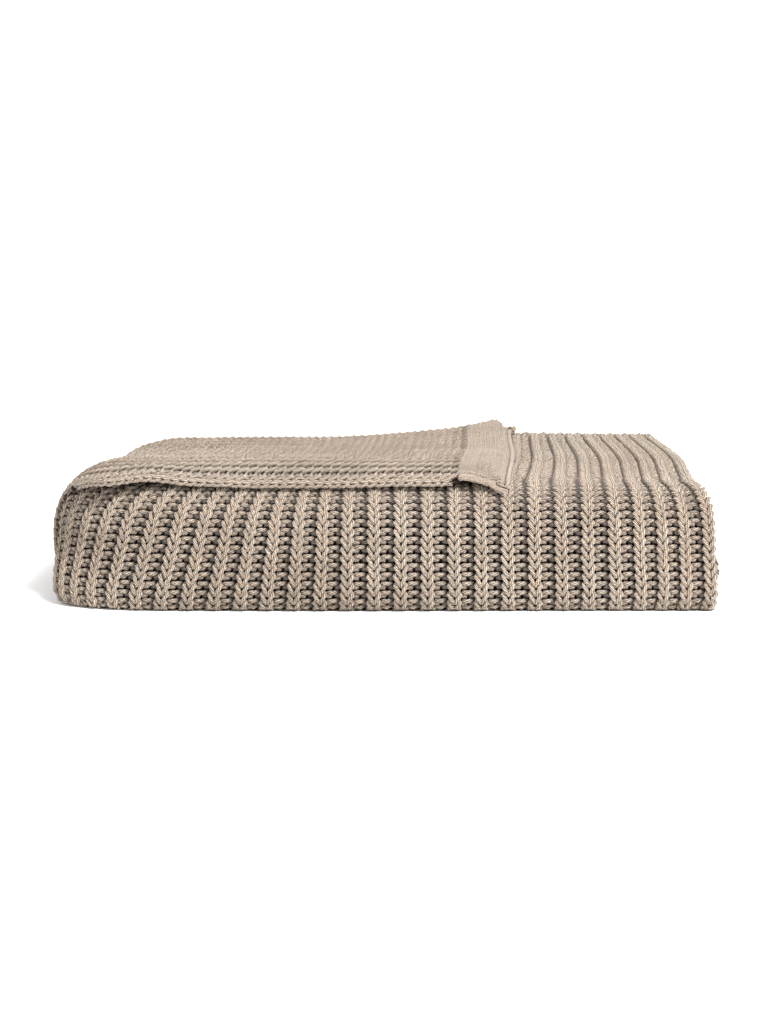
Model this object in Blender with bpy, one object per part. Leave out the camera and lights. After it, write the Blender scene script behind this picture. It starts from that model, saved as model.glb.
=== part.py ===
# Folded rib-knit cotton throw, lying on a flat surface.
# One sheet of cloth, folded back and forth into a stack. Its outer layer comes over the
# top, down the rounded front and back under the stack. From there the cloth turns up
# round the left side and lies over the top again, as a flap with a finer knitted band
# along its end. Metres, +Z up, +X to the right, the rounded front towards -Y.

import math

import bmesh
import bpy
import numpy as np

# Overall size
HALF_WIDTH = 0.2385
HALF_DEPTH = 0.178
TOP = 0.0870  # top layer, measured between its ribs
SAG = 0.0110  # how much lower the stack is at its back left
SAG_X, SAG_X_RUN = 0.13, 0.20  # where that starts, going left, and over what length
SAG_Y, SAG_Y_RUN = -0.12, 0.22  # the same, going back
RIPPLE = 0.0004
GROUND_LIFT = 0.0003  # the turned-up cloth starts this high

# Cloth
CLOTH = 0.0046  # the top layer and the rounded front
INNER_CLOTH = 0.0042  # one pressed layer inside the stack
RIB = 0.0020  # height of a rib over the cloth beside it
FLOOR_LAYER = 0.0056  # bottom layer, with its ribs pressed flat
FLAP_CLOTH = 0.0040
FLAP_RIB = 0.0016
CREST_SHARE = 0.20  # half the flat crest of a rib, as a share of the rib spacing
VALLEY_SHARE = 0.14
FRONT_RIBS = 27  # rib spacings along the front, from the right end round the corner
END_CROWDING = 0.009  # how much closer the first few stand than the rest, in all
CROWDED_RIBS = 4.2
BACK_RIB_REACH = 0.4130  # width that the same ribs take at the back of the top
FAN, FAN_RUN = 0.42, 0.15  # the last ribs lean right as they rise
END_LEAN, END_LEAN_RUN = 0.28, 0.09  # the first ones lean left
FRONT_WAVE = 0.0012

# Rounding of the front and of its left corner
ROUND = 0.040
SQUARENESS = 2.6
FOOT_SQUARENESS = 6.5  # below the middle, where the front stands nearly square
CORNER = 0.070
FOOT_SPILL, SPILL_HEIGHT = 0.45, 0.050  # the corner's foot comes forward to be squarer
RIGHT_END = 0.2295
CORNER_INSET = 0.0035
RIGHT_BACK = 0.2305

# Layers inside the stack, from the bottom up. Each row is a pair of layers joined at the
# front: how far the right ends stand in, and how far their back fold stands in.
INNER_LAYERS = 10
FRONT_CLEAR = 0.0052
SIDE_CLEAR = 0.0070
UPPER_LEAN = 1.5  # the upper layers stand back by this much more
FOLDS = (
    # right_in, left_in, back_in
    (0.0030, 0.0120, 0.0105),
    (0.0005, 0.0030, 0.0030),
    (0.0045, 0.0015, 0.0085),
    (0.0015, 0.0005, 0.0020),
    (0.0050, 0.0140, 0.0070),
)
FLOOR_BACK_IN = 0.0130
BACK_FOLD = 0.0090  # room left for the back folds
BACK_WAVE = 0.0012
SIDE_SPARE = 0.04  # extra share of height by which inner layers keep off the side's round

# Turned-up side and flap
SIDE_ROUND = 0.046
SIDE_SPREAD = 0.018  # how much wider its upper half is, from here back
SPREAD_Y, SPREAD_RUN = -0.13, 0.16
NARROWING = 0.066  # share of its width that the stack loses towards the back
NARROWING_Y, NARROWING_RUN = -0.03, 0.20
SETTLING = 0.010  # share of its width that it gains near the ground
SETTLING_Z, SETTLING_RUN = 0.055, 0.045
CENTRING = (0.0037, 0.0014)  # brings the middle of its outline to the origin
SIDE_FRONT = -0.110
SIDE_FOOT_FRONT = -0.138  # the same edge near the ground
SIDE_BACK = 0.160
TAIL_REACH = 0.016
FLAP_FRONT = -0.163
FLAP_BACK = 0.1735
FLAP_END_FRONT = 0.048
FLAP_END_BACK = 0.072
FLAP_RIBS = 18
FLAP_GAP = 0.0008
CROWN, CROWN_Y, CROWN_RUN = 0.0045, 0.02, 0.12  # the flap lies looser towards the front
FALL, FALL_Y, FALL_RUN = 0.0065, -0.098, 0.065  # and drops over the shoulder
LIP, LIP_X, LIP_WIDTH = 0.0042, -0.168, 0.022  # its edge stands open over the corner
LIP_Y, LIP_RUN = -0.105, 0.05
EDGE_WAVE, WAVE_Y, WAVE_RUN = 0.0010, -0.12, 0.04
HUMP, HUMP_X, HUMP_X_RUN = 0.0062, 0.055, 0.06  # raised part at the back of its end
HUMP_Y, HUMP_Y_RUN = 0.01, 0.13
LIFT_FROM, LIFT_RUN = 20, 65  # degrees round the side where the flap's edges begin
TUCK, TUCK_Y, TUCK_RUN = 0.010, -0.112, 0.05  # the round draws in at the flap's front
BAND_WIDTH = 0.038
BAND_CLOTH = 0.0034
BAND_DROOP, DROOP_FROM = 0.0050, 0.75  # the free edge lies down on the top layer
PIECE_GAP = 0.0003

THROW_COLOUR = (0.55, 0.47, 0.38, 1.0)
BAND_COLOUR = (0.52, 0.46, 0.39, 1.0)

SIDE_X = -HALF_WIDTH + FLAP_RIB + SIDE_ROUND  # where the flap turns down the left side
LEFT_END = -HALF_WIDTH + CORNER_INSET
CORNER_X = LEFT_END + CORNER
STRAIGHT = RIGHT_END - CORNER_X
FRONT_LENGTH = STRAIGHT + CORNER * math.pi / 2
RIB_STEP = (FRONT_LENGTH + END_CROWDING) / FRONT_RIBS


def clear_scene():
    for old in list(bpy.data.objects):
        bpy.data.objects.remove(old)


def smooth(t):
    t = min(max(t, 0.0), 1.0)
    return t * t * (3 - 2 * t)


def mix(a, b, t):
    return a + (b - a) * t


def top_height(x, y):
    # Outer face of the top layer, between its ribs
    left = smooth((SAG_X - x) / SAG_X_RUN)
    back = smooth((y - SAG_Y) / SAG_Y_RUN)
    ripple = RIPPLE * math.sin(x * 31 + 1.2) * math.sin(y * 24 + 0.4)
    return TOP - SAG * left * back + ripple


def shoulder_drop(y):
    # How far the rounded front has come down at this depth
    along = max(1 - (y + HALF_DEPTH) / ROUND, 0.0)
    half = (TOP - RIB) / 2
    return half * (1 - max(1 - along**SQUARENESS, 0.0) ** (1 / SQUARENESS))


def plan(s):
    # Point and outward direction on the front's plan, s metres from its right end
    if s <= STRAIGHT:
        return RIGHT_END - s, -HALF_DEPTH, 0.0, -1.0
    turn = (s - STRAIGHT) / CORNER
    out_x, out_y = -math.sin(turn), -math.cos(turn)
    return CORNER_X + CORNER * out_x, -HALF_DEPTH + CORNER + CORNER * out_y, out_x, out_y


def front_point(s, angle):
    # Outer face between the ribs, and its normal. The angle runs from 90 degrees, on top,
    # to -90 degrees, on the ground
    x, y, out_x, out_y = plan(s)
    cosine, sine = max(math.cos(angle), 0.0), math.sin(angle)
    power = 2 / (SQUARENESS if angle > 0 else FOOT_SQUARENESS)
    inset = ROUND * (1 - cosine**power)
    height = math.copysign(abs(sine) ** power, sine)
    fan = FAN * smooth((s - STRAIGHT + FAN_RUN) / FAN_RUN) * smooth(height) * (1 + out_x)
    lean = END_LEAN * smooth(1 - s / END_LEAN_RUN)
    bulge = FRONT_WAVE * (math.sin(s * 16 + 0.8) + 1) * cosine
    x += inset * (fan - out_x - lean)
    y += (inset + bulge) * -out_y
    top = top_height(x, y)
    z = (top + RIB) / 2 + (top - RIB) / 2 * height
    spill = FOOT_SPILL * smooth((SPILL_HEIGHT - z) / SPILL_HEIGHT)
    y -= (CORNER - inset) * (1 + out_y) * spill
    radial = cosine ** (2 - power) / ROUND
    upward = math.copysign(abs(sine) ** (2 - power), sine) * 2 / (top - RIB)
    normal = np.array([out_x * radial, out_y * radial, upward])
    return np.array([x, y, z]), normal / np.linalg.norm(normal)


def back_x(s):
    return RIGHT_BACK - BACK_RIB_REACH * s / FRONT_LENGTH


def layer_height(index, x, y):
    # Middle of an inner layer, counted from the bottom
    low, high = FLOOR_LAYER, top_height(x, y) - CLOTH
    return mix(low, high, (index - 0.5) / INNER_LAYERS)


def layer_step(x, y):
    return (top_height(x, y) - CLOTH - FLOOR_LAYER) / INNER_LAYERS


def top_point(s, share):
    # Outer face of the top layer between its ribs: share 0 at the front, 1 at the back
    front, _ = front_point(s, math.pi / 2)
    y = mix(front[1], back_centre(len(FOLDS), s), share)
    x = mix(front[0], back_x(s), share)
    return np.array([x, y, top_height(x, y)]), np.array([0.0, 0.0, 1.0])


def back_centre(fold, s):
    # Middle of a back fold's turn. Fold 0 is the bottom one, the last joins the top layer
    stand_in = FOLDS[fold][2] if fold < len(FOLDS) else 0.0
    wave = BACK_WAVE * math.sin(s * 17 + 2.1 * fold)
    return HALF_DEPTH - BACK_FOLD - stand_in + wave


def top_fold_point(s, angle):
    # Round the back fold from the top layer to the layer below it
    start, _ = top_point(s, 1.0)
    step = layer_step(start[0], start[1])
    radius = (step + CLOTH) / 2
    middle = start + np.array([0.0, 0.0, -radius])
    normal = np.array([0.0, math.cos(angle), math.sin(angle)])
    return middle + normal * radius, normal


def corner_reach(index):
    # How far from the corner's centre an inner layer may reach inside the rounded front
    side = math.copysign(1.0, 2 * index - INNER_LAYERS - 1)
    face = layer_height(index, LEFT_END, 0.1) + side * INNER_CLOTH / 2
    middle = (TOP - SAG + RIB) / 2
    away = min(abs(face - middle) / (middle - RIB - CLOTH), 0.999)
    squareness = SQUARENESS if side > 0 else FOOT_SQUARENESS
    inset = (ROUND - CLOTH) * (1 - (1 - away**squareness) ** (1 / squareness))
    lean = UPPER_LEAN if side > 0 else 1.0
    return CORNER - CLOTH - FRONT_CLEAR - inset * lean


def inner_x(s, index):
    # Inner layers stop inside the turned-up side on the left
    right_in, left_in, _ = FOLDS[(index - 1) // 2]
    middle = TOP / 2
    away = min(abs(layer_height(index, 0.0, 0.0) - middle) / middle + SIDE_SPARE, 1.0)
    side = SIDE_X - (SIDE_ROUND - FLAP_CLOTH - SIDE_CLEAR) * math.sqrt(1 - away**2)
    left = max(CORNER_X - corner_reach(index), side) + left_in
    return mix(RIGHT_END - right_in, left, s / FRONT_LENGTH)


def front_limit(x, index):
    # An inner layer's front edge follows the corner's round
    aside = max(CORNER_X - x, 0.0)
    reach = corner_reach(index)
    return -HALF_DEPTH + CORNER - math.sqrt(max(reach**2 - aside**2, 0.0))


def inner_stations():
    # The stack's inside, as a list of functions of s giving middle point and normal. The
    # path starts at the back of the lowest inner layer and ends at the back of the top one
    stations = []
    angles = [math.radians(a) for a in (-90, -54, -18, 18, 54, 90)]
    for pair in range(INNER_LAYERS // 2):
        low, high = 2 * pair + 1, 2 * pair + 2
        outer = low if pair < 2 else high

        def turn_front(s, outer=outer):
            x = inner_x(s, outer)
            return x, front_limit(x, outer) + (layer_step(x, 0.0) + INNER_CLOTH) / 2

        def lower(s, share, low=low, pair=pair, turn_front=turn_front):
            _, start = turn_front(s)
            x = inner_x(s, low)
            y = mix(back_centre(pair, s), start, share)
            return np.array([x, y, layer_height(low, x, y)]), np.array([0.0, 0.0, 1.0])

        def front(s, angle, low=low, turn_front=turn_front):
            _, start = turn_front(s)
            x = inner_x(s, low)
            below, above = layer_height(low, x, start), layer_height(low + 1, x, start)
            radius = (above - below) / 2
            away = np.array([0.0, -math.cos(angle), math.sin(angle)])
            return np.array([x, start, (below + above) / 2]) + radius * away, -away

        def upper(s, share, high=high, pair=pair, turn_front=turn_front):
            _, start = turn_front(s)
            x = inner_x(s, high)
            y = mix(start, back_centre(pair + 1, s), share)
            return np.array([x, y, layer_height(high, x, y)]), np.array([0.0, 0.0, -1.0])

        def back(s, angle, high=high, pair=pair):
            centre = back_centre(pair + 1, s)
            x = inner_x(s, high)
            below, above = layer_height(high, x, centre), layer_height(high + 1, x, centre)
            radius = (above - below) / 2
            away = np.array([0.0, math.cos(angle), math.sin(angle)])
            return np.array([x, centre, (below + above) / 2]) + radius * away, away

        stations += [lambda s, f=lower, t=t: f(s, t) for t in (0.0, 0.33, 0.67)]
        stations += [lambda s, f=front, a=a: f(s, a) for a in angles]
        shares = (0.33, 0.67, 0.96) if pair == INNER_LAYERS // 2 - 1 else (0.33, 0.67)
        stations += [lambda s, f=upper, t=t: f(s, t) for t in shares]
        if pair < INNER_LAYERS // 2 - 1:
            stations += [lambda s, f=back, a=a: f(s, a) for a in angles[:-1]]
    return stations


def front_rib(rib):
    # Where a rib stands along the front, in metres from the right end
    return RIB_STEP * rib - END_CROWDING * smooth(rib / CROWDED_RIBS)


def flap_rib(rib):
    return rib / FLAP_RIBS


def rib_places(count, place):
    # Places across the ribs with each one's height share: the flat of a crest, then the
    # flat of a valley, starting and ending on the middle of a crest
    places = [(0.0, 1.0)]
    for rib in range(count):
        places += [
            (place(rib + CREST_SHARE), 1.0),
            (place(rib + 0.5 - VALLEY_SHARE), 0.0),
            (place(rib + 0.5 + VALLEY_SHARE), 0.0),
            (place(rib + 1 - CREST_SHARE), 1.0),
        ]
    return places + [(place(count), 1.0)]


def ribbed_row(point_at, places, height):
    # A row across the ribs. Where the ribs crowd together they are lower too
    valley = [point_at(s) for s, _ in places]
    row = []
    for k, (s, share) in enumerate(places):
        before, after = max(k - 2, 0), min(k + 2, len(places) - 1)
        spread = np.linalg.norm(valley[after][0] - valley[before][0])
        full = places[after][0] - places[before][0]
        row.append(valley[k][0] + valley[k][1] * height * share * min(spread / full, 1.0))
    return row


def add_strip(bm, first, second, keys_first, keys_second):
    # Faces between two rows, which may have different numbers of points. The shorter
    # row's keys are all in the longer one's
    if len(first) > len(second):
        add_strip(bm, second, first, keys_second, keys_first)
        return
    for k in range(len(first) - 1):
        start, end = keys_second.index(keys_first[k]), keys_second.index(keys_first[k + 1])
        bm.faces.new([first[k], *second[start : end + 1], first[k + 1]])


def settled(point):
    x, y, z = point
    spread = SETTLING * smooth((SETTLING_Z - z) / SETTLING_RUN)
    x *= 1 - NARROWING * smooth((y - NARROWING_Y) / NARROWING_RUN) + spread
    return x + CENTRING[0], y + CENTRING[1], z


def loft(name, outer, inner):
    # A closed sheet between an outer and an inner face. Each face is a list of rows, and
    # a row is its keys and its points
    bm = bmesh.new()
    faces = []
    for rows in (outer, inner):
        made = [([*keys], [bm.verts.new(settled(p)) for p in points]) for keys, points in rows]
        for (keys_a, a), (keys_b, b) in zip(made, made[1:]):
            add_strip(bm, a, b, keys_a, keys_b)
        faces.append(made)
    top, bottom = faces
    for (_, a), (_, b), (_, c), (_, d) in zip(top, top[1:], bottom, bottom[1:]):
        bm.faces.new([a[0], b[0], d[0], c[0]])
        bm.faces.new([a[-1], b[-1], d[-1], c[-1]])
    for end in (0, -1):
        bm.faces.new([*top[end][1], *reversed(bottom[end][1])])
    bmesh.ops.recalc_face_normals(bm, faces=bm.faces[:])
    bmesh.ops.triangulate(bm, faces=bm.faces[:])
    mesh = bpy.data.meshes.new(name)
    bm.to_mesh(mesh)
    bm.free()
    return bpy.data.objects.new(name, mesh)


def stack_rows():
    # Rows of the folded sheet, from the end of the lowest inner layer to the bottom layer
    places = rib_places(FRONT_RIBS, front_rib)
    fine = [s for s, _ in places]
    wanted = (0.0, 0.24, 0.48, 0.7, 0.77, 0.84, 0.9, 0.95, 1.0)
    coarse = [min(fine, key=lambda s, w=w: abs(s - w * FRONT_LENGTH)) for w in wanted]
    outer, inner = [], []

    def add_plain(station, thickness):
        pairs = [station(s) for s in coarse]
        outer.append((coarse, [p + n * thickness / 2 for p, n in pairs]))
        inner.append((coarse, [p - n * thickness / 2 for p, n in pairs]))

    def add_ribbed(station, rib):
        outer.append((fine, ribbed_row(station, places, rib)))
        inner.append((coarse, [p - n * CLOTH for p, n in map(station, coarse)]))

    for station in inner_stations():
        add_plain(station, INNER_CLOTH)
    for degrees in (-90, -54, -18, 18, 54):
        rib = 0.8 * RIB * smooth((degrees + 90) / 90)
        add_ribbed(lambda s, a=math.radians(degrees): top_fold_point(s, a), rib)
    for share in (1.0, 0.72, 0.44, 0.2):
        add_ribbed(lambda s, t=share: top_point(s, t), RIB)
    for degrees in (90, 72, 57, 42, 27, 12, 1, -1.5, -14, -45, -68, -80, -90):
        add_ribbed(lambda s, a=math.radians(degrees): front_point(s, a), RIB)
    for share in (0.06, 1.0):
        pairs = [floor_point(s, share) for s in coarse]
        outer.append((coarse, [np.array([x, y, 0.0]) for x, y in pairs]))
        inner.append((coarse, [np.array([x, y, FLOOR_LAYER]) for x, y in pairs]))
    return outer, inner


def floor_point(s, share):
    front, _ = front_point(s, -math.pi / 2)
    back = mix(RIGHT_END, SIDE_X - 0.005, s / FRONT_LENGTH)
    return mix(front[0], back, share), mix(front[1], HALF_DEPTH - FLOOR_BACK_IN, share)


def flap_under(x, y):
    # Underside of the flap, over the ribs of the top layer
    crown = smooth((CROWN_Y - y) / CROWN_RUN)
    fall = FALL * (max(FALL_Y - y, 0.0) / FALL_RUN) ** 2
    opening = LIP * math.exp(-(((x - LIP_X) / LIP_WIDTH) ** 2)) * smooth((LIP_Y - y) / LIP_RUN)
    edge_wave = EDGE_WAVE * math.sin(x * 42 + 0.9) * smooth((WAVE_Y - y) / WAVE_RUN)
    hump = HUMP * smooth((x - HUMP_X) / HUMP_X_RUN) * smooth((y - HUMP_Y) / HUMP_Y_RUN)
    rest = top_height(x, y) + RIB + FLAP_GAP + (CROWN - FLAP_GAP) * crown
    return rest - fall + opening + max(edge_wave, 0.0) + hump


def flap_end(y):
    return mix(FLAP_END_FRONT, FLAP_END_BACK, (y + HALF_DEPTH) / (2 * HALF_DEPTH))


def turned_point(where, amount, share):
    # Outer face of the turned-up cloth between its ribs. It runs from a tail under the
    # stack, round the left side, to the flap's end; share 0 is the front edge, 1 the back
    if where == "flap":
        y = mix(FLAP_FRONT, FLAP_BACK, share)
        x = mix(SIDE_X, flap_end(y), amount)
        return np.array([x, y, flap_under(x, y) + FLAP_CLOTH])
    if where == "tail":
        y = mix(SIDE_FOOT_FRONT, SIDE_BACK, share)
        return np.array([SIDE_X + TAIL_REACH * amount, y, GROUND_LIFT])
    degrees = math.degrees(amount)
    lifted = smooth((degrees - LIFT_FROM) / LIFT_RUN)
    edge = mix(SIDE_FRONT, SIDE_FOOT_FRONT, smooth(-degrees / 60))
    y = mix(mix(edge, FLAP_FRONT, lifted), mix(SIDE_BACK, FLAP_BACK, lifted), share)
    high = flap_under(SIDE_X, y) + FLAP_CLOTH
    tuck = TUCK * (max(TUCK_Y - y, 0.0) / TUCK_RUN) ** 2 * lifted
    spread = SIDE_SPREAD * smooth((y - SPREAD_Y) / SPREAD_RUN) * lifted
    x = SIDE_X + spread - (SIDE_ROUND + spread - tuck) * math.cos(amount)
    z = (high + GROUND_LIFT) / 2 + (high - GROUND_LIFT) / 2 * math.sin(amount)
    return np.array([x, y, z])


def turned_normal(where, amount, share):
    if where == "flap":
        return np.array([0.0, 0.0, 1.0])
    small = 0.004
    along = turned_point(where, amount + small, share) - turned_point(where, amount - small, share)
    across = turned_point(where, amount, share + small) - turned_point(where, amount, share - small)
    normal = np.cross(across, along) if where == "tail" else np.cross(along, across)
    return normal / np.linalg.norm(normal)


def turned_rows():
    places = rib_places(FLAP_RIBS, flap_rib)
    fine = [share for share, _ in places]
    wanted = (0.0, 0.06, 0.13, 0.3, 0.5, 0.7, 0.85, 1.0)
    coarse = [min(fine, key=lambda s, w=w: abs(s - w)) for w in wanted]
    stations = [("tail", 1.0)]
    stations += [("side", math.radians(a)) for a in (-90, -66, -40, -13, 13, 40, 60, 76, 90)]
    stations += [("flap", a / 8) for a in range(1, 9)]
    outer, inner = [], []
    for where, amount in stations:
        rib = FLAP_RIB * smooth((math.degrees(amount) + 90) / 50) if where == "side" else FLAP_RIB
        rib = 0.0 if where == "tail" else rib

        def station(share, where=where, amount=amount):
            return turned_point(where, amount, share), turned_normal(where, amount, share)

        pairs = [station(share) for share in fine]
        row = [p + n * rib * h for (p, n), (_, h) in zip(pairs, places)]
        outer.append((fine, row))
        inner.append((coarse, [p - n * FLAP_CLOTH for p, n in map(station, coarse)]))
    return outer, inner


def band_point(across, share):
    # Outer face of the end band: across 0 at the flap, 1 at the free edge
    y = mix(FLAP_FRONT - 0.001, FLAP_BACK - 0.002, share)
    x = flap_end(y) + PIECE_GAP + (BAND_WIDTH - PIECE_GAP) * across
    rest = top_height(x, y) + RIB + FLAP_GAP - shoulder_drop(y)
    droop = BAND_DROOP * smooth((across - DROOP_FROM) / (1 - DROOP_FROM))
    under = max(flap_under(x, y) - droop, rest)
    return np.array([x, y, under + BAND_CLOTH])


def band_rows():
    across = [0.0, 0.25, 0.5, 0.72, 0.84, 0.93, 1.0]
    shares = [(k / 18) ** 1.7 for k in range(19)]
    outer, inner = [], []
    for a in across:
        row = [band_point(a, share) for share in shares]
        outer.append((shares, row))
        inner.append((shares, [p - np.array([0.0, 0.0, BAND_CLOTH]) for p in row]))
    return outer, inner


def cloth_material(name, colour, roughness):
    material = bpy.data.materials.new(name)
    material.use_nodes = True
    shader = material.node_tree.nodes["Principled BSDF"]
    shader.inputs["Base Color"].default_value = colour
    shader.inputs["Roughness"].default_value = roughness
    shader.inputs["Metallic"].default_value = 0.0
    return material


def shade(obj, material):
    obj.data.materials.append(material)
    obj.data.shade_smooth()
    obj.data.set_sharp_from_angle(angle=math.radians(50))


def main():
    clear_scene()
    parts = bpy.data.collections.new("folded throw")
    operands = bpy.data.collections.new("joined pieces")
    for collection in (parts, operands):
        bpy.context.scene.collection.children.link(collection)

    throw = loft("throw", *stack_rows())
    shade(throw, cloth_material("rib knit cotton", THROW_COLOUR, 0.9))
    parts.objects.link(throw)

    turned = loft("turned_side", *turned_rows())
    turned.hide_render = True
    turned.display_type = "WIRE"
    operands.objects.link(turned)
    join = throw.modifiers.new("join turned side", "BOOLEAN")
    join.operation = "UNION"
    join.solver = "EXACT"
    join.object = turned

    band = loft("end_band", *band_rows())
    shade(band, cloth_material("fine knit cotton", BAND_COLOUR, 0.88))
    parts.objects.link(band)


main()
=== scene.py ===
import math

import bmesh
import bpy
import numpy as np
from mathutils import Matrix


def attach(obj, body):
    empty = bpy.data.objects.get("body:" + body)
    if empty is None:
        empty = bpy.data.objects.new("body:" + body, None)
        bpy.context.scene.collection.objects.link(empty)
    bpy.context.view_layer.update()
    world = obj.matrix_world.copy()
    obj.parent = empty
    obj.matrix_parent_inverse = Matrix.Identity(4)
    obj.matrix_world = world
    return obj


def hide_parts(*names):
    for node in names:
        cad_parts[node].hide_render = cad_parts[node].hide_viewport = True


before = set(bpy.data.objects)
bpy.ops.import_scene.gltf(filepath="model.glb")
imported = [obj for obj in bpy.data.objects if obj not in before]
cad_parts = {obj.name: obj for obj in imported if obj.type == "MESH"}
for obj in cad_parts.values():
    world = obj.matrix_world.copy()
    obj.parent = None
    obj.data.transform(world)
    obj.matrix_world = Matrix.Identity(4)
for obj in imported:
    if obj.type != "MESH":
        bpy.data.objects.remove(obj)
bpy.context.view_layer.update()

scene = bpy.context.scene
scene.view_settings.view_transform = "Standard"

# The shape of the folded stack, in metres: +X right, +Y back, +Z up
stack = {
    "halfWidth": 0.2385,
    "halfDepth": 0.178,
    "top": 0.0870,
    "sag": 0.0110,  # lower at the back left
    "sagAcross": (0.13, 0.20),  # where a change starts, and over what length
    "sagBack": (-0.12, 0.22),
    "ripple": 0.0004,
    "footLift": 0.0020,
    "cloth": 0.0046,
    "innerCloth": 0.0042,
    "floorLayer": 0.0056,
    "roundOver": 0.040,
    "squareness": 2.6,
    "footSquareness": 6.5,
    "corner": 0.085,
    "footSpill": 0.50,  # the corner's foot comes forward to be squarer
    "spillHeight": 0.050,
    "columnLean": 0.018,  # the ribs near the corner lean right as they rise
    "leanFrom": (0.24, 0.16),
    "leanTo": (0.46, 0.06),
    "fan": 0.42,
    "fanFrom": 0.15,
    "rightLean": 0.28,
    "rightLeanWidth": 0.09,
    "bulge": 0.0012,
    "cornerInset": 0.0035,
    "rightEnd": 0.2295,
    "rightBack": 0.2305,
    "backReach": 0.4130,
    "ribs": 28,
    "endCrowding": 0.009,
    "crowdedRibs": 4.2,
    "innerLayers": 10,
    "frontClear": 0.0052,
    "sideClear": 0.0070,
    "upperLean": 1.5,
    "backClear": 0.0090,
    "folds": ((0.0030, 0.0120, 0.0105), (0.0005, 0.0030, 0.0030), (0.0045, 0.0015, 0.0085),
              (0.0030, 0.0005, 0.0020), (0.0095, 0.0140, 0.0070)),  # right in, left in, back in
    "floorBackIn": 0.0130,
    "sideRound": 0.046,
    "sideSpread": 0.018,
    "sideFront": -0.110,
    "sideFootFront": -0.138,
    "sideBack": 0.160,
    "narrowing": 0.066,
    "narrowingFrom": (-0.03, 0.20),
    "settling": 0.010,
    "settlingBelow": (0.055, 0.045),
    "centring": (0.0037, 0.0014),
    "sideLift": 0.0003,
}

# The flap on top, and the band at its end
flap = {
    "ribs": 18,
    "ribHeight": 0.0016,
    "cloth": 0.0040,
    "front": -0.163,
    "back": 0.1735,
    "endFront": 0.048,
    "endBack": 0.072,
    "gap": 0.0008,
    "crown": 0.0045,
    "crownFrom": (0.02, 0.12),
    "fall": 0.0065,  # the front edge hangs a little over the rounded front
    "fallFrom": (-0.098, 0.065),
    "opening": 0.0042,  # and gapes at the left
    "openingAt": (-0.168, 0.022),
    "openingFrom": (-0.105, 0.05),
    "wave": 0.0010,
    "waveFrom": (-0.12, 0.04),
    "hump": 0.0062,  # raised at the back right
    "humpAcross": (0.055, 0.06),
    "humpBack": (0.01, 0.13),
    "tip": 0.0020,
    "tipAt": (0.050, 0.010),
    "tipFrom": (-0.145, 0.02),
    "spreadFrom": (-0.13, 0.16),
    "tuck": 0.010,
    "tuckFrom": (-0.112, 0.05),
    "bandWidth": 0.038,
    "bandCloth": 0.0034,
    "bandGap": 0.0003,
    "bandDroop": 0.0120,  # its free edge lies down on the cloth below
    "droopFrom": (0.62, 0.38),
    "bandThinning": 1.05,
    "curl": 0.0042,  # the band's front edge rolls up
    "curlAt": (0.058, 0.013),
    "curlFrom": (-0.140, 0.024),
}

leftEnd = -stack["halfWidth"] + stack["cornerInset"]
cornerX = leftEnd + stack["corner"]
straightRun = stack["rightEnd"] - cornerX
frontLength = straightRun + stack["corner"] * math.pi / 2
ribStep = (frontLength + stack["endCrowding"]) / stack["ribs"]
sideX = -stack["halfWidth"] + flap["ribHeight"] + stack["sideRound"]


def smooth(t):
    t = min(max(t, 0.0), 1.0)
    return t * t * (3 - 2 * t)


def rise(value, start, run):  # 0 before start, 1 a run past it
    return smooth((value - start) / run)


def fall(value, start, run):
    return smooth((start - value) / run)


def mound(value, middle, width):
    return math.exp(-(((value - middle) / width) ** 2))


def mix(a, b, t):
    return a + (b - a) * t


def topHeight(x, y):
    left, back = fall(x, *stack["sagAcross"]), rise(y, *stack["sagBack"])
    ripple = stack["ripple"] * math.sin(x * 31 + 1.2) * math.sin(y * 24 + 0.4)
    return stack["top"] - stack["sag"] * left * back + ripple


def ribPlace(rib):  # metres from the right end
    return ribStep * rib - stack["endCrowding"] * smooth(rib / stack["crowdedRibs"])


def planPoint(s):
    if s <= straightRun:
        return stack["rightEnd"] - s, -stack["halfDepth"], 0.0, -1.0
    turn = (s - straightRun) / stack["corner"]
    outX, outY = -math.sin(turn), -math.cos(turn)
    middle = -stack["halfDepth"] + stack["corner"]
    return cornerX + stack["corner"] * outX, middle + stack["corner"] * outY, outX, outY


def columnLean(s):
    return stack["columnLean"] * rise(s, *stack["leanFrom"]) * (1 - 0.8 * rise(s, *stack["leanTo"]))


def frontPoint(s, angle):  # angle 90 degrees on top, -90 on the ground
    cosine, sine = max(math.cos(angle), 0.0), math.sin(angle)
    power = 2 / (stack["squareness"] if angle > 0 else stack["footSquareness"])
    height = math.copysign(abs(sine) ** power, sine)
    x, y, outX, outY = planPoint(s - columnLean(s) * (height + 1) / 2)
    inset = stack["roundOver"] * (1 - cosine**power)
    fanned = smooth((s - straightRun + stack["fanFrom"]) / stack["fanFrom"])
    fan = stack["fan"] * fanned * smooth(height) * (1 + outX)
    lean = stack["rightLean"] * smooth(1 - s / stack["rightLeanWidth"])
    bulge = stack["bulge"] * math.sin(s * 16 + 0.8) * cosine
    x += inset * (fan - outX - lean)
    y += -inset * outY + bulge * -outY + stack["bulge"] * -outY * cosine
    top, foot = topHeight(x, y), stack["footLift"]
    z = (top + foot) / 2 + (top - foot) / 2 * height
    spill = stack["footSpill"] * smooth((stack["spillHeight"] - z) / stack["spillHeight"])
    return np.array([x, y - (stack["corner"] - inset) * (1 + outY) * spill, z])


def backX(s):
    return stack["rightBack"] - stack["backReach"] * s / frontLength


def backCentre(fold, s):
    standIn = stack["folds"][fold][2] if fold < len(stack["folds"]) else 0.0
    return stack["halfDepth"] - stack["backClear"] - standIn + 0.0012 * math.sin(s * 17 + 2.1 * fold)


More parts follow.
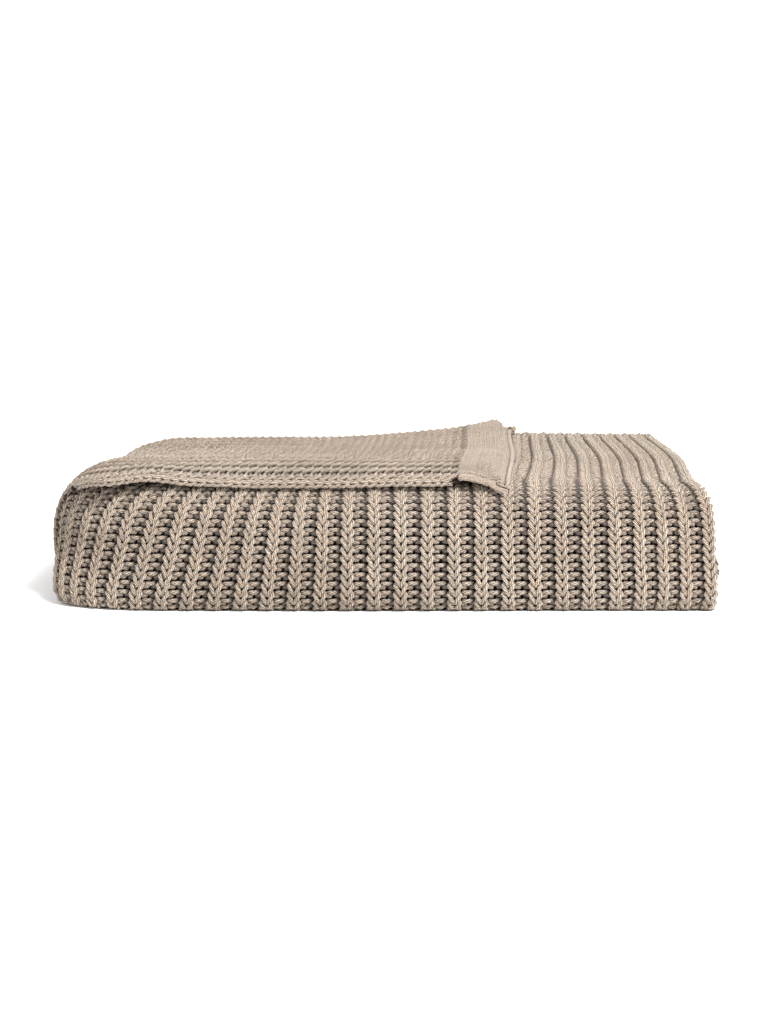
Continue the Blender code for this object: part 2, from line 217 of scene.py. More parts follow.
def topPoint(s, share):
    front = frontPoint(s, math.pi / 2)
    y = mix(front[1], backCentre(len(stack["folds"]), s), share)
    x = mix(front[0], backX(s), share)
    return np.array([x, y, topHeight(x, y)])


def layerHeight(index, x, y):
    low, high = stack["floorLayer"], topHeight(x, y) - stack["cloth"]
    return mix(low, high, (index - 0.5) / stack["innerLayers"])


def layerStep(x, y):
    return (topHeight(x, y) - stack["cloth"] - stack["floorLayer"]) / stack["innerLayers"]


def topFoldPoint(s, angle):
    start = topPoint(s, 1.0)
    radius = (layerStep(start[0], start[1]) + stack["cloth"]) / 2
    return start + np.array([0.0, radius * math.cos(angle), radius * (math.sin(angle) - 1)])


def cornerReach(index):
    side = math.copysign(1.0, 2 * index - stack["innerLayers"] - 1)
    face = layerHeight(index, leftEnd, 0.1) + side * stack["innerCloth"] / 2
    top = stack["top"] - stack["sag"]
    middle = (top + stack["footLift"]) / 2
    away = min(abs(face - middle) / (middle - stack["footLift"] - stack["cloth"]), 0.999)
    squareness = stack["squareness"] if side > 0 else stack["footSquareness"]
    shape = 1 - (1 - away**squareness) ** (1 / squareness)
    inset = (stack["roundOver"] - stack["cloth"]) * shape
    lean = stack["upperLean"] if side > 0 else 1.0
    return stack["corner"] - stack["cloth"] - stack["frontClear"] - inset * lean


def innerX(s, index):
    rightIn, leftIn, _ = stack["folds"][(index - 1) // 2]
    middle = stack["top"] / 2
    away = min(abs(layerHeight(index, 0.0, 0.0) - middle) / middle + 0.04, 1.0)
    room = stack["sideRound"] - flap["cloth"] - stack["sideClear"]
    side = sideX - room * math.sqrt(1 - away**2)
    left = max(cornerX - cornerReach(index), side) + leftIn
    return mix(stack["rightEnd"] - rightIn, left, s / frontLength)


def frontLimit(x, index):
    aside, reach = max(cornerX - x, 0.0), cornerReach(index)
    return -stack["halfDepth"] + stack["corner"] - math.sqrt(max(reach**2 - aside**2, 0.0))


def innerStations():  # middle point and normal of the layers inside, from the bottom up
    stations = []
    angles = [math.radians(a) for a in (-90, -60, -30, 0, 30, 60, 90)]
    pairs = stack["innerLayers"] // 2
    for pair in range(pairs):
        low, high = 2 * pair + 1, 2 * pair + 2
        outer = low if pair < 2 else high

        def turnY(s, outer=outer):
            x = innerX(s, outer)
            return frontLimit(x, outer) + (layerStep(x, 0.0) + stack["innerCloth"]) / 2

        def lower(s, share, low=low, pair=pair, turnY=turnY):
            x, y = innerX(s, low), mix(backCentre(pair, s), turnY(s), share)
            return np.array([x, y, layerHeight(low, x, y)]), np.array([0.0, 0.0, 1.0])

        def upper(s, share, high=high, pair=pair, turnY=turnY):
            x, y = innerX(s, high), mix(turnY(s), backCentre(pair + 1, s), share)
            return np.array([x, y, layerHeight(high, x, y)]), np.array([0.0, 0.0, -1.0])

        def turn(s, angle, index, y, sign):
            x = innerX(s, index)
            below, above = layerHeight(index, x, y), layerHeight(index + 1, x, y)
            away = np.array([0.0, sign * math.cos(angle), math.sin(angle)])
            return np.array([x, y, (below + above) / 2]) + (above - below) / 2 * away, sign * away

        def front(s, angle, low=low, turnY=turnY, turn=turn):
            return turn(s, angle, low, turnY(s), -1.0)

        def back(s, angle, high=high, pair=pair, turn=turn):
            return turn(s, angle, high, backCentre(pair + 1, s), 1.0)

        stations += [lambda s, f=lower, t=t: f(s, t) for t in (0.0, 0.25, 0.5, 0.75)]
        stations += [lambda s, f=front, a=a: f(s, a) for a in angles]
        stations += [lambda s, f=upper, t=t: f(s, t) for t in (0.25, 0.5, 0.75)]
        if pair < pairs - 1:
            stations += [lambda s, f=back, a=a: f(s, a) for a in angles[:-1]]
    return stations


def settled(point):
    x, y, z = point
    spread = stack["settling"] * fall(z, *stack["settlingBelow"])
    x *= 1 - stack["narrowing"] * rise(y, *stack["narrowingFrom"]) + spread
    return x + stack["centring"][0], y + stack["centring"][1], z


def flapUnder(x, y):
    fallFrom, fallRun = flap["fallFrom"]
    crown = fall(y, *flap["crownFrom"])
    drop = flap["fall"] * (max(fallFrom - y, 0.0) / fallRun) ** 2
    opening = flap["opening"] * mound(x, *flap["openingAt"]) * fall(y, *flap["openingFrom"])
    wave = max(flap["wave"] * math.sin(x * 42 + 0.9) * fall(y, *flap["waveFrom"]), 0.0)
    hump = flap["hump"] * rise(x, *flap["humpAcross"]) * rise(y, *flap["humpBack"])
    rest = topHeight(x, y) + stack["footLift"] + flap["gap"] + (flap["crown"] - flap["gap"]) * crown
    tip = flap["tip"] * mound(x, *flap["tipAt"]) * fall(y, *flap["tipFrom"])
    return rest - drop + opening + wave + hump + tip


def flapEnd(y):
    depth = stack["halfDepth"]
    return mix(flap["endFront"], flap["endBack"], (y + depth) / (2 * depth))


def turnedPoint(where, amount, share):  # the cloth that turns up the side and over the top
    if where == "flap":
        y = mix(flap["front"], flap["back"], share)
        spread = stack["sideSpread"] * rise(y, *flap["spreadFrom"])
        x = mix(sideX + spread, flapEnd(y), amount)
        return np.array([x, y, flapUnder(x, y) + flap["cloth"]])
    degrees = math.degrees(amount)
    lifted = smooth((degrees - 20) / 65)
    front = mix(stack["sideFront"], stack["sideFootFront"], smooth(-degrees / 60))
    front = mix(front, flap["front"], lifted)
    y = mix(front, mix(stack["sideBack"], flap["back"], lifted), share)
    spread = stack["sideSpread"] * rise(y, *flap["spreadFrom"])
    high, low = flapUnder(sideX + spread, y) + flap["cloth"], stack["sideLift"]
    tuckFrom, tuckRun = flap["tuckFrom"]
    tuck = flap["tuck"] * (max(tuckFrom - y, 0.0) / tuckRun) ** 2 * lifted
    spread *= lifted
    x = sideX + spread - (stack["sideRound"] + spread - tuck) * math.cos(amount)
    return np.array([x, y, (high + low) / 2 + (high - low) / 2 * math.sin(amount)])


def bandPoint(across, share):
    y = mix(flap["front"] - 0.001, flap["back"] - 0.002, share)
    x = flapEnd(y) + flap["bandGap"] + (flap["bandWidth"] - flap["bandGap"]) * across
    along = max(1 - (y + stack["halfDepth"]) / stack["roundOver"], 0.0)
    squareness = stack["squareness"]
    half = (stack["top"] - stack["footLift"]) / 2
    drop = half * (1 - max(1 - along**squareness, 0.0) ** (1 / squareness))
    rest = topHeight(x, y) + stack["footLift"] + flap["gap"] - drop
    lowered = rise(across, *flap["droopFrom"])
    droop = flap["bandDroop"] * lowered
    cloth = flap["bandCloth"] * (1 - flap["bandThinning"] * lowered)
    curl = flap["curl"] * mound(x, *flap["curlAt"]) * fall(y, *flap["curlFrom"])
    return np.array([x, y, max(flapUnder(x, y) - droop, rest) + curl + cloth])


# Guides: ruled sheets that the stitches are laid on, with rib and course numbers as their UV
courseScale = 0.01  # UV units to one rib or one course
guides = []


def outwardOf(grid, flip):
    along, across = np.gradient(grid, axis=0), np.gradient(grid, axis=1)
    outward = np.cross(across, along) if flip else np.cross(along, across)
    return outward / np.maximum(np.linalg.norm(outward, axis=2, keepdims=True), 1e-9)


def makeGuide(name, grid, ribs, pitch, flip=False):  # pitch: the length of a course
    rows, columns = grid.shape[:2]
    middleLine = grid[:, columns // 2]
    steps = np.linalg.norm(np.diff(middleLine, axis=0), axis=1)
    length = np.concatenate([[0.0], np.cumsum(steps)])
    pitches = [pitch(s) if callable(pitch) else pitch for s in (length[1:] + length[:-1]) / 2]
    courses = np.concatenate([[0.0], np.cumsum(steps / np.array(pitches))])
    faces = [(r * columns + c, r * columns + c + 1, (r + 1) * columns + c + 1, (r + 1) * columns + c)
             for r in range(rows - 1) for c in range(columns - 1)]
    mesh = bpy.data.meshes.new(name)
    mesh.from_pydata(grid.reshape(-1, 3).tolist(), [], faces)
    flat = np.stack(np.broadcast_arrays(ribs[None, :], courses[:, None]), axis=-1).reshape(-1, 2)
    corners = np.zeros(len(mesh.loops), dtype=np.int32)
    mesh.loops.foreach_get("vertex_index", corners)
    layer = mesh.uv_layers.new(name="flat")
    layer.data.foreach_set("uv", (flat[corners] * courseScale).ravel().astype(np.float32))
    attribute = mesh.attributes.new("outward", "FLOAT_VECTOR", "POINT")
    outward = outwardOf(grid, flip).reshape(-1, 3)
    attribute.data.foreach_set("vector", outward.ravel().astype(np.float32))
    guide = bpy.data.objects.new(name, mesh)
    scene.collection.objects.link(guide)
    guides.append(guide)
    print(name, "courses", round(float(courses[-1]), 1))
    return guide, int(courses[-1])


def unit(vector):
    return vector / max(np.linalg.norm(vector), 1e-9)


def bentRow(angles, pointAt):  # a row of points round an edge
    return [settled(pointAt(math.cos(math.radians(a)), math.sin(math.radians(a)))) for a in angles]


# The base: up the rounded front and back over the top
baseSheet = {
    "lowerCourse": 0.0066,  # stitches are pulled longer towards the ground
    "upperCourse": 0.0062,
    "courseChange": (0.045, 0.05),
    "footAngles": 26,
    "shoulderAngles": 26,
    "topRows": 64,
    "footDrop": 0.0026,  # the lowest stitches touch the ground
    "dropFrom": (-12, 45),
}


def baseGuide():
    foot = [-90 * (1 - k / baseSheet["footAngles"]) ** 3 for k in range(baseSheet["footAngles"])]
    shoulder = [90 * (k / baseSheet["shoulderAngles"]) ** 1.25 for k in range(baseSheet["shoulderAngles"] + 1)]
    ribs = np.arange(0, stack["ribs"] + 0.001, 0.25)
    places = [ribPlace(r) for r in ribs]
    rows = []
    for degrees in foot + shoulder:
        drop = np.array([0.0, 0.0, baseSheet["footDrop"] * fall(degrees, *baseSheet["dropFrom"])])
        rows.append([settled(frontPoint(s, math.radians(degrees)) - drop) for s in places])
    topRows = baseSheet["topRows"]
    rows += [[settled(topPoint(s, k / topRows)) for s in places] for k in range(1, topRows + 1)]
    rows += [[settled(topFoldPoint(s, math.radians(a))) for s in places] for a in range(60, -91, -30)]

    def pitch(length):
        change = rise(length, *baseSheet["courseChange"])
        return mix(baseSheet["lowerCourse"], baseSheet["upperCourse"], change)

    return makeGuide("baseGuide", np.array(rows), ribs, pitch)


# The turned side and flap: courses count from the flap's end round to the ground
turnedSheet = {"course": 0.0063, "sideRows": 40, "flapRows": 56, "overhang": 0.012}  # linked over the band


def turnedGrid(shares, overhang=0.0):
    rows = []
    for k in range(turnedSheet["flapRows"] + 1):
        amount = (1 + overhang) * (1 - k / turnedSheet["flapRows"])
        rows.append([settled(turnedPoint("flap", amount, share)) for share in shares])
    for k in range(1, turnedSheet["sideRows"] + 1):
        angle = math.radians(90 - 180 * k / turnedSheet["sideRows"])
        rows.append([settled(turnedPoint("side", angle, share)) for share in shares])
    return np.array(rows)


def turnedGuide():
    ribs = np.arange(0, flap["ribs"] + 0.001, 0.25)
    grid = turnedGrid(ribs / flap["ribs"], turnedSheet["overhang"])
    return makeGuide("turnedGuide", grid, ribs, turnedSheet["course"], flip=True)


# The chain of stitches along the flap's front edge
hem = {"course": 0.0063, "radius": 0.0024, "in": 0.0014, "behind": 0.03, "flapSteps": 56, "sideSteps": 7, "sideStep": 6}


def hemGuide():
    stations = [("flap", 1 - k / hem["flapSteps"]) for k in range(hem["flapSteps"] + 1)]
    stations += [("side", math.radians(90 - hem["sideStep"] * k)) for k in range(1, hem["sideSteps"] + 1)]
    edges = np.array([turnedPoint(where, amount, 0.0) for where, amount in stations])
    behinds = np.array([turnedPoint(where, amount, hem["behind"]) for where, amount in stations])
    rows, radius = [], hem["radius"]
    angles = (-110, -80, -50, -25, 0, 25, 50, 80, 110)
    for edge, behind, heading in zip(edges, behinds, np.gradient(edges, axis=0)):
        run = unit(behind - edge)
        up = unit(np.cross(run, heading))
        middle = edge - up * radius + run * hem["in"]
        rows.append(bentRow(angles, lambda out, rising: middle + (up * rising - run * out) * radius))
    return makeGuide("hemGuide", np.array(rows), np.linspace(0, 0.5, 9), hem["course"], flip=True)


# The end band, its free edge and its front lip
endBand = {
    "wales": 10, "course": 0.0043, "rows": 121, "crowding": 1.3,
    "edgeWales": 5, "edgeCourse": 0.0048,
    "lipRadius": 0.0016, "lipDown": 0.0019, "lipIn": 0.0012,
    "clothDown": 0.0019, "clothUnder": 0.0028, "clothRows": 6,  # rows left out under the lip
}


def bandGrid():
    across = np.linspace(0, 1, 25)
    shares = np.linspace(0, 1, endBand["rows"]) ** endBand["crowding"]
    return np.array([[settled(bandPoint(a, share)) for a in across] for share in shares])


def bandGuide(name, wales, course):
    return makeGuide(name, bandGrid(), np.linspace(0, 1, 25) * wales / 2, course, flip=True)


def lipGuide():
    rows, radius = [], endBand["lipRadius"]
    for across in np.linspace(0.0, 1.0, 25):
        edge, behind = bandPoint(across, 0.0), bandPoint(across, 0.02)
        run = unit(behind - edge)
        up = np.cross(np.array([1.0, 0.0, 0.0]), run)
        middle = edge - up * endBand["lipDown"] + run * endBand["lipIn"]
        rows.append(bentRow(range(-100, 101, 25), lambda out, rising: middle + (up * rising - run * out) * radius))
    return makeGuide("lipGuide", np.array(rows), np.linspace(0, 1, 9), endBand["edgeCourse"])


# The folds at the back
backFold = {"course": 0.0058, "lead": 0.0003}  # lead: how far in its ends run, for each degree past 90


def foldGuide(pair):
    ribs = np.arange(0, stack["ribs"] + 0.001, 0.5)
    high = 2 * pair + 2
    rows = []
    for degrees in (-120, -100, -90, -72, -54, -36, -18, 0, 18, 36, 54, 72, 90, 100, 120):
        bend = math.radians(min(max(degrees, -90), 90))
        lead = max(abs(degrees) - 90, 0) * backFold["lead"]
        row = []
        for rib in ribs:
            s = ribPlace(rib)
            x, y = innerX(s, high), backCentre(pair + 1, s)
            below, above = layerHeight(high, x, y), layerHeight(high + 1, x, y)
            radius = (above - below) / 2 + stack["innerCloth"] / 2
            height = (below + above) / 2 + radius * math.sin(bend)
            row.append(settled((x, y + radius * math.cos(bend) - lead, height)))
        rows.append(row)
    return makeGuide("foldGuide", np.array(rows), ribs, backFold["course"])


# The cut edge on the right, through every layer inside
cutEdge = {"course": 0.0060, "step": 0.006, "out": 0.0022, "in": 0.0014, "half": 0.0026, "lead": 0.00008}


def foldNormal(degrees):
    return np.array([0.0, math.cos(math.radians(degrees)), math.sin(math.radians(degrees))])


def selvedgeGuide():
    path = [station(0.0) for station in innerStations()]
    for degrees in range(-90, 31, 30):
        normal = foldNormal(degrees)
        path.append((topFoldPoint(0.0, math.radians(degrees)) - normal * stack["cloth"] / 2, normal))
    rows = []
    for (p, n), (q, m) in zip(path, path[1:]):
        steps = max(int(np.linalg.norm(q - p) / cutEdge["step"]), 1)
        for j in range(steps):
            middle, normal = mix(p, q, j / steps), unit(mix(n, m, j / steps))
            row = []
            for degrees in (-115, -90, -60, -30, 0, 30, 60, 90, 115):
                bend = math.radians(min(max(degrees, -90), 90))
                lead = max(abs(degrees) - 90, 0) * cutEdge["lead"]
                away = np.array([math.cos(bend) * cutEdge["out"] - cutEdge["in"] - lead, 0.0, 0.0])
                row.append(settled(middle + away + normal * math.sin(bend) * cutEdge["half"]))
            rows.append(row)
    return makeGuide("selvedgeGuide", np.array(rows), np.linspace(0, 1, 9), cutEdge["course"])


# The layer on the ground, and the stitches round its edge
bottomLayer = {"height": 0.0004, "in": 0.006, "frontIn": 0.02, "sideIn": 0.005, "course": 0.0060,
               "out": 0.0020, "half": 0.0016, "middle": 0.0030, "under": 0.0006}


def bottomPoint(s, share):
    front = frontPoint(s, -math.pi / 2)
    right, left = stack["rightEnd"] - bottomLayer["in"], sideX - bottomLayer["sideIn"]
    x = mix(front[0], mix(right, left, s / frontLength), share)
    back = stack["halfDepth"] - stack["floorBackIn"] - bottomLayer["in"]
    return np.array([x, mix(front[1] - bottomLayer["frontIn"], back, share), bottomLayer["height"]])


def bottomEdgeGuide():
    path = [(bottomPoint(0.0, k / 20), 0) for k in range(20)]
    path += [(bottomPoint(0.0, 1.0), degrees) for degrees in (0, 30, 60, 90)]
    path += [(bottomPoint(frontLength * k / 24, 1.0), 90) for k in range(1, 25)]
    rows = []
    for place, heading in path:
        away = np.array([math.cos(math.radians(heading)), math.sin(math.radians(heading)), 0.0])

        def pointAt(out, rising):
            height = bottomLayer["middle"] + rising * bottomLayer["half"]
            return place + away * out * bottomLayer["out"] + np.array([0.0, 0.0, height])

        rows.append(bentRow((-105, -80, -55, -30, 0, 30, 55, 80, 105), pointAt))
    return makeGuide("bottomEdgeGuide", np.array(rows), np.linspace(0, 1, 9), bottomLayer["course"])


# Node helpers
def feed(tree, socket, value):
    if isinstance(value, bpy.types.NodeSocket):
        tree.links.new(value, socket)
    elif value is not None:
        socket.default_value = value


def addNode(tree, kind, inputs=None, **settings):
    node = tree.nodes.new(kind)
    for name, value in settings.items():
        setattr(node, name, value)
    for key, value in (inputs or {}).items():
        feed(tree, node.inputs[key], value)
    return node


def sums(tree, *operations):  # a function for each kind of sum
    def sumOf(operation):
        return lambda a, b=None: addNode(tree, "ShaderNodeMath", {0: a, 1: b}, operation=operation).outputs[0]

    return [sumOf(operation) for operation in operations]


def ramp(tree, value, low, high):  # smoothly from 0 at low to 1 at high
    inputs = dict(enumerate((value, low, high, 0.0, 1.0)))
    return addNode(tree, "ShaderNodeMapRange", inputs, interpolation_type="SMOOTHSTEP").outputs[0]


def blend(tree, share, first, second):
    return addNode(tree, "ShaderNodeMix", {0: share, 6: first, 7: second}, data_type="RGBA").outputs[2]


# Yarn stitches as geometry nodes. Each course is one strand of yarn, looped through the last
stitchInputs = {
    "First wale": 0, "Wales": 20, "First course": 0, "Courses": 10, "Points": 12, "Sides": 6,
    "Yarn radius": 0.00165, "Loop reach": 0.8, "Leg lean": 0.12, "Relief": 0.0018, "Set in": 0.0016,
    "Rib": 1.0,  # 1 for rib, 0 for plain knit
    "Purl share": 0.16, "Purl lean": 0.08, "Flat tops": 0.14, "Rib rise": 0.0,
    "Groove": 0.0, "Groove at": 1.1, "Wander": 0.05,
    "Ground": -1.0,  # no yarn goes lower
}


def stitchTree(material):
    tree = bpy.data.node_groups.new("knitStitches", "GeometryNodeTree")
    tree.interface.new_socket("Guide", in_out="INPUT", socket_type="NodeSocketGeometry")
    for name, value in stitchInputs.items():
        kind = "NodeSocketInt" if isinstance(value, int) else "NodeSocketFloat"
        tree.interface.new_socket(name, in_out="INPUT", socket_type=kind).default_value = value
    tree.interface.new_socket("Yarn", in_out="OUTPUT", socket_type="NodeSocketGeometry")
    given = tree.nodes.new("NodeGroupInput").outputs
    add, take, times, over, modulo, floor = sums(
        tree, "ADD", "SUBTRACT", "MULTIPLY", "DIVIDE", "FLOORED_MODULO", "FLOOR")
    sine, cosine, size, root, most, below = sums(
        tree, "SINE", "COSINE", "ABSOLUTE", "SQRT", "MAXIMUM", "LESS_THAN")

    def joined(*parts):
        return addNode(tree, "ShaderNodeCombineXYZ", dict(enumerate(parts))).outputs[0]

    def apart(vector):
        return addNode(tree, "ShaderNodeSeparateXYZ", {0: vector}).outputs

    def vectorSum(operation, inputs):
        return addNode(tree, "ShaderNodeVectorMath", inputs, operation=operation).outputs[0]

    def named(name, kind="FLOAT"):
        return addNode(tree, "GeometryNodeInputNamedAttribute", {"Name": name}, data_type=kind).outputs[0]

    def keep(geometry, name, value, kind="FLOAT"):
        inputs = {"Geometry": geometry, "Name": name, "Value": value}
        return addNode(tree, "GeometryNodeStoreNamedAttribute", inputs, data_type=kind, domain="POINT").outputs[0]

    perCourse = add(times(given["Wales"], given["Points"]), 1.0)
    cloud = addNode(tree, "GeometryNodePoints", {"Count": times(perCourse, given["Courses"]), "Radius": 1.0}).outputs[0]
    index = addNode(tree, "GeometryNodeInputIndex").outputs[0]
    row = floor(over(add(index, 0.5), perCourse))
    step = take(index, times(row, perCourse))
    wale = add(given["First wale"], over(step, given["Points"]))
    turn = times(wale, 2 * math.pi)
    course = add(given["First course"], row)

    noiseAt = joined(times(wale, 0.9), times(course, 2.3), 3.7)
    wander = addNode(tree, "ShaderNodeTexNoise", {"Vector": noiseAt, "Scale": 1.0, "Detail": 2.0}).outputs["Color"]
    off = apart(vectorSum("SUBTRACT", {0: wander, 1: (0.5, 0.5, 0.5)}))

    # Knit wales lean their legs outwards, and a groove parts each from the next
    swing = sine(times(turn, 0.5))
    purl = times(given["Rib"], ramp(tree, swing, 0.3, -0.3))
    lean = add(given["Leg lean"], times(purl, given["Purl lean"]))
    across = add(wale, times(lean, sine(times(turn, 2.0))))
    half = sine(times(across, math.pi / 2))
    squeeze = times(given["Purl share"], times(half, half))
    across = take(across, times(squeeze, given["Rib"]))
    beside = size(take(modulo(across, 2.0), given["Groove at"]))
    across = add(across, times(off[0], times(given["Wander"], 2.0)))

    # Each loop rises from its course and reaches into the next
    flatTop = times(cosine(times(turn, 3.0)), given["Flat tops"])
    up = times(take(cosine(turn), flatTop), times(given["Loop reach"], -1.0))
    up = add(add(course, 0.5), up)
    up = add(up, times(off[1], times(given["Wander"], 3.0)))

    # Knit wales show their legs, purl wales their heads
    side = over(swing, root(add(size(swing), 0.12)))
    face = addNode(tree, "ShaderNodeMix", {0: given["Rib"], 2: 1.0, 3: side}, data_type="FLOAT").outputs[0]
    wave = times(cosine(times(turn, 2.0)), -1.0)
    depth = times(times(wave, face), given["Relief"])
    depth = add(depth, times(swing, given["Rib rise"]))
    depth = take(depth, times(ramp(tree, beside, 0.30, 0.04), given["Groove"]))
    lift = take(depth, given["Set in"])
    lift = add(lift, times(off[2], times(given["Wander"], 0.008)))

    place = joined(times(across, courseScale / 2), times(up, courseScale))
    spot = addNode(tree, "GeometryNodeInputPosition").outputs[0]

    def onSheet(value):
        inputs = {"Mesh": given["Guide"], "Value": value, "UV Map": named("flat", "FLOAT_VECTOR"), "Sample UV": place}
        return addNode(tree, "GeometryNodeSampleUVSurface", inputs, data_type="FLOAT_VECTOR").outputs

    found = onSheet(spot)
    facing = onSheet(named("outward", "FLOAT_VECTOR"))[0]
    there = vectorSum("ADD", {0: found[0], 1: vectorSum("SCALE", {0: facing, "Scale": lift})})
    parts = apart(there)
    there = joined(parts[0], parts[1], most(parts[2], given["Ground"]))

    held = keep(cloud, "yarnRow", row)
    # yarnDepth: how far in each point lies, which the yarn material turns into painted shade
    held = keep(held, "yarnDepth", over(depth, size(given["Relief"])))
    held = keep(held, "onGuide", found["Is Valid"])
    moved = addNode(tree, "GeometryNodeSetPosition", {"Geometry": held, "Position": there}).outputs[0]
    cut = {"Geometry": moved, "Selection": below(named("onGuide"), 0.5)}
    kept = addNode(tree, "GeometryNodeDeleteGeometry", cut, domain="POINT").outputs[0]
    order = addNode(tree, "GeometryNodeInputIndex").outputs[0]
    strandInputs = {"Points": kept, "Curve Group ID": named("yarnRow"), "Weight": order}
    strands = addNode(tree, "GeometryNodePointsToCurves", strandInputs).outputs[0]
    strands = keep(strands, "yarnAlong", addNode(tree, "GeometryNodeSplineParameter").outputs["Length"])
    ringInputs = {"Resolution": given["Sides"], "Radius": given["Yarn radius"]}
    ring = addNode(tree, "GeometryNodeCurvePrimitiveCircle", ringInputs).outputs[0]
    outwards = vectorSum("NORMALIZE", {0: addNode(tree, "GeometryNodeInputPosition").outputs[0]})
    ring = keep(ring, "yarnRing", outwards, "FLOAT_VECTOR")
    tubeInputs = {"Curve": strands, "Profile Curve": ring, "Fill Caps": True}
    tube = addNode(tree, "GeometryNodeCurveToMesh", tubeInputs).outputs[0]
    tube = addNode(tree, "GeometryNodeSetShadeSmooth", {"Geometry": tube}).outputs[0]
    real = addNode(tree, "GeometryNodeRealizeInstances", {"Geometry": tube}).outputs[0]
    dressed = addNode(tree, "GeometryNodeSetMaterial", {"Geometry": real, "Material": material}).outputs[0]
    tree.links.new(dressed, tree.nodes.new("NodeGroupOutput").inputs[0])
    return tree


def knitPiece(name, guide, tree, sizes):
    modifier = guide.modifiers.new("knit", "NODES")
    modifier.node_group = tree
    for item in tree.interface.items_tree:
        if item.item_type == "SOCKET" and item.in_out == "INPUT" and item.name in sizes:
            modifier[item.identifier] = sizes[item.name]
    depsgraph = bpy.context.evaluated_depsgraph_get()
    shown = guide.evaluated_get(depsgraph)
    mesh = bpy.data.meshes.new_from_object(shown, preserve_all_data_layers=True, depsgraph=depsgraph)
    guide.modifiers.remove(modifier)
    print(name, "triangles", sum(len(p.vertices) - 2 for p in mesh.polygons))
    return linked(name, mesh)


def linked(name, mesh):
    mesh.name = name
    piece = bpy.data.objects.new(name, mesh)
    scene.collection.objects.link(piece)
    return piece


# Shader groups that the yarns and the cloth share
def newGroup(name, inputs, outputs):
    group = bpy.data.node_groups.new(name, "ShaderNodeTree")
    for socketName, kind, value in inputs:
        socket = group.interface.new_socket(socketName, in_out="INPUT", socket_type="NodeSocket" + kind)
        if value is not None:
            socket.default_value = value
    for socketName, kind in outputs:
        group.interface.new_socket(socketName, in_out="OUTPUT", socket_type="NodeSocket" + kind)
    return group, group.nodes.new("NodeGroupInput").outputs, group.nodes.new("NodeGroupOutput").inputs


def plyTwistGroup():  # plies wound round each other, with fine fibres along each
    group, given, made = newGroup("plyTwist", (
        ("Ring", "Vector", None), ("Along", "Float", 0.0), ("Turn length", "Float", 0.013),
        ("Fibre scale", "Float", 1.0)), (("Height", "Float"), ("Groove", "Float")))
    add, times, over, most, power = sums(group, "ADD", "MULTIPLY", "DIVIDE", "MAXIMUM", "POWER")
    sine, cosine, size, angleOf = sums(group, "SINE", "COSINE", "ABSOLUTE", "ARCTAN2")
    ring = addNode(group, "ShaderNodeSeparateXYZ", {0: given["Ring"]}).outputs
    angle = times(over(given["Along"], given["Turn length"]), 2 * math.pi)
    wound = add(angleOf(ring[1], ring[0]), angle)
    plies = size(cosine(times(wound, 3.0)))
    fibrePlace = addNode(group, "ShaderNodeCombineXYZ", {
        0: times(cosine(wound), 5.0), 1: times(sine(wound), 5.0), 2: times(given["Along"], 110.0)}).outputs[0]
    noise = {"Vector": fibrePlace, "Scale": given["Fibre scale"], "Detail": 3.0}
    fibre = addNode(group, "ShaderNodeTexNoise", noise).outputs["Fac"]
    rounded = power(add(plies, 0.001), 0.75)
    feed(group, made["Height"], add(rounded, times(fibre, 0.6)))
    # Groove: where the plies part, where the yarn material paints shade, and darker fibre streaks that are the yarn's
    # own tone
    strands = times(ramp(group, fibre, 0.52, 0.36), 0.55)
    feed(group, made["Groove"], most(ramp(group, plies, 0.66, 0.14), strands))
    return group


def heatherGroup():  # warm and cool fibres mixed in one yarn
    group, given, made = newGroup("heather", (
        ("Place", "Vector", None), ("Light", "Color", (0.6, 0.5, 0.4, 1)), ("Dark", "Color", (0.4, 0.33, 0.26, 1)),
        ("Patch", "Float", 14.0), ("Fleck", "Float", 900.0)), (("Color", "Color"),))
    add, times = sums(group, "ADD", "MULTIPLY")

    def noise(scale, detail):
        inputs = {"Vector": given["Place"], "Scale": scale, "Detail": detail}
        return addNode(group, "ShaderNodeTexNoise", inputs).outputs["Fac"]

    mixed = add(times(noise(given["Patch"], 3.0), 0.5), times(noise(given["Fleck"], 2.0), 0.8))
    feed(group, made["Color"], blend(group, ramp(group, mixed, 0.35, 0.95), given["Dark"], given["Light"]))
    return group


def newMaterial(name, roughness, specular):
    material = bpy.data.materials.new(name)
    material.use_nodes = True
    shader = material.node_tree.nodes["Principled BSDF"]
    shader.inputs["Roughness"].default_value = roughness
    shader.inputs["Specular IOR Level"].default_value = specular
    return material, material.node_tree, shader


def grouped(tree, group, inputs):
    node = addNode(tree, "ShaderNodeGroup", node_tree=group)
    for name, value in inputs.items():
        feed(tree, node.inputs[name], value)
    return node.outputs


def heathered(tree, light, dark):
    place = addNode(tree, "ShaderNodeTexCoord").outputs["Object"]
    return place, grouped(tree, heather, {"Place": place, "Light": light, "Dark": dark})["Color"]


plyTwist = plyTwistGroup()
heather = heatherGroup()

# Painted shade: shade is the colour painted between the plies and down in the hollows, where shade falls; groove and
# deep say how strongly
yarnLooks = {
    "ribYarn": {"light": (0.92, 0.755, 0.60, 1), "dark": (0.49, 0.355, 0.24, 1), "shade": (0.030, 0.013, 0.005, 1),
                "groove": 0.95, "turn": 0.0185, "bump": 0.0022, "deep": 0.95, "fibre": 1.0},
    "bandYarn": {"light": (0.69, 0.575, 0.465, 1), "dark": (0.43, 0.335, 0.25, 1), "shade": (0.06, 0.032, 0.016, 1),
                 "groove": 0.70, "turn": 0.0050, "bump": 0.0005, "deep": 0.9, "fibre": 1.5},
}


